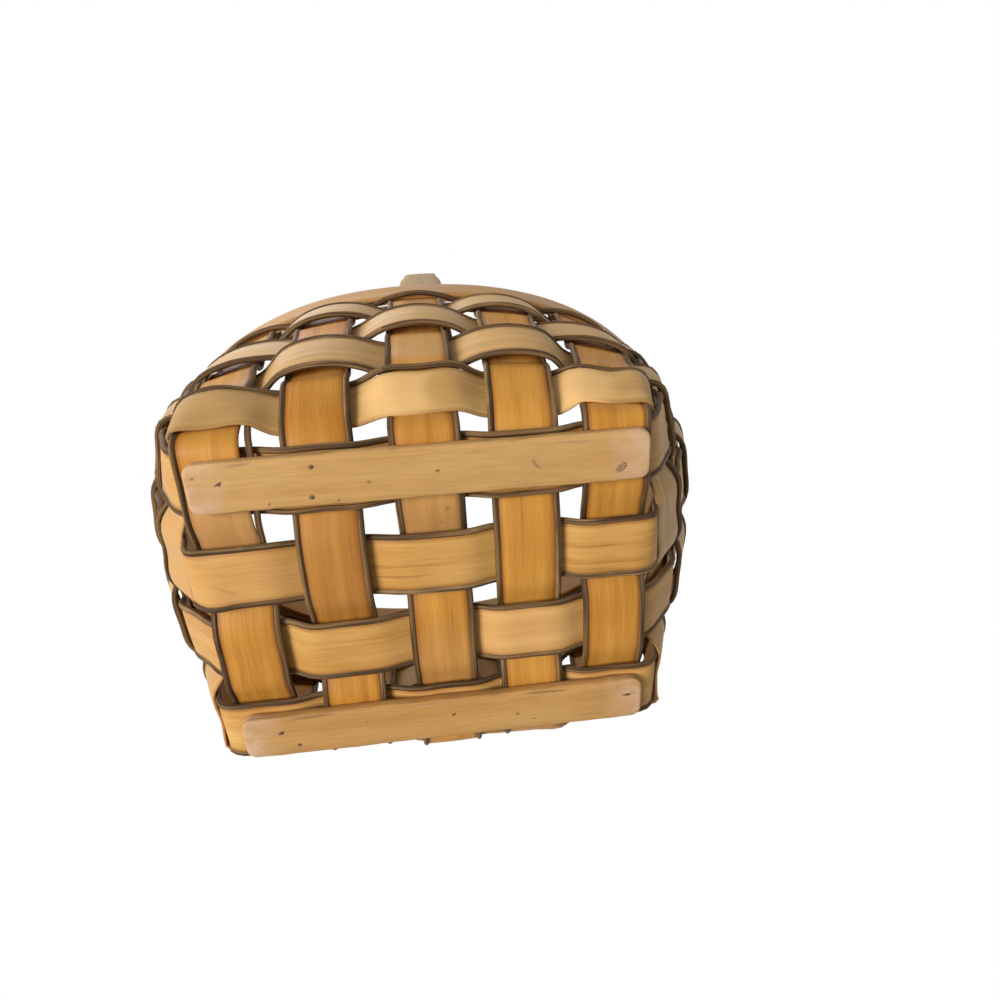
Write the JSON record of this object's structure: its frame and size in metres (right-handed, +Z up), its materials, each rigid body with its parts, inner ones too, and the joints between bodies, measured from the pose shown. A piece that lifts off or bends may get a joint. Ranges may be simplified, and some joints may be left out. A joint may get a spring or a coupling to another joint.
{
  "type": "pie basket",
  "caption": "Woven splint basket with round mouth, rectangular base on two wooden runners, nailed rim band and bentwood arch handle.",
  "frame": {"origin": "under the middle of the basket, on the plane that the runners stand on", "axes": "+Z up, +X along the runners and the mouth's long way, -Y the front, which the picture shows"},
  "size_m": [0.3292, 0.2426, 0.3871],
  "materials": {
    "long_splints": "satin, honey coloured",
    "cross_splints": "satin, light tan",
    "weavers": "satin, tan",
    "reeds": "matte, dyed grey-brown",
    "rim_bands": "satin, orange-tan",
    "handle": "satin, tan",
    "runners": "matte, light tan, bare",
    "nails": "dull, darkened"
  },
  "bodies": {
    "root": {"cross_stake_1": "cross_splints", "cross_stake_1_reed_a": "reeds", "cross_stake_1_reed_b": "reeds", "cross_stake_2": "cross_splints", "cross_stake_2_reed_a": "reeds", "cross_stake_2_reed_b": "reeds", "cross_stake_3": "cross_splints", "cross_stake_3_reed_a": "reeds", "cross_stake_3_reed_b": "reeds", "cross_stake_4": "cross_splints", "cross_stake_4_reed_a": "reeds", "cross_stake_4_reed_b": "reeds", "handle": "handle", "handle_tack_back_high": "nails", "handle_tack_back_low": "nails", "handle_tack_front_high": "nails", "handle_tack_front_low": "nails", "long_stake_1": "long_splints", "long_stake_1_reed_a": "reeds", "long_stake_1_reed_b": "reeds", "long_stake_2": "long_splints", "long_stake_2_reed_a": "reeds", "long_stake_2_reed_b": "reeds", "long_stake_3": "long_splints", "long_stake_3_reed_a": "reeds", "long_stake_3_reed_b": "reeds", "long_stake_4": "long_splints", "long_stake_4_reed_a": "reeds", "long_stake_4_reed_b": "reeds", "long_stake_5": "long_splints", "long_stake_5_reed_a": "reeds", "long_stake_5_reed_b": "reeds", "rim_inner_band": "rim_bands", "rim_outer_band": "rim_bands", "rim_tack_1": "nails", "rim_tack_2": "nails", "rim_tack_3": "nails", "rim_tack_4": "nails", "runner_back": "runners", "runner_back_brad_1": "nails", "runner_back_brad_2": "nails", "runner_back_brad_3": "nails", "runner_front": "runners", "runner_front_brad_1": "nails", "runner_front_brad_2": "nails", "runner_front_brad_3": "nails", "runner_front_brad_4": "nails", "weaver_1": "weavers", "weaver_1_reed_high": "reeds", "weaver_2": "weavers", "weaver_2_reed_high": "reeds", "weaver_2_reed_low": "reeds", "weaver_3": "weavers", "weaver_3_reed_high": "reeds", "weaver_3_reed_low": "reeds", "weaver_4": "weavers", "weaver_4_reed_high": "reeds", "weaver_4_reed_low": "reeds", "weaver_5": "weavers", "weaver_5_reed_low": "reeds"}
  },
  "joints": []
}
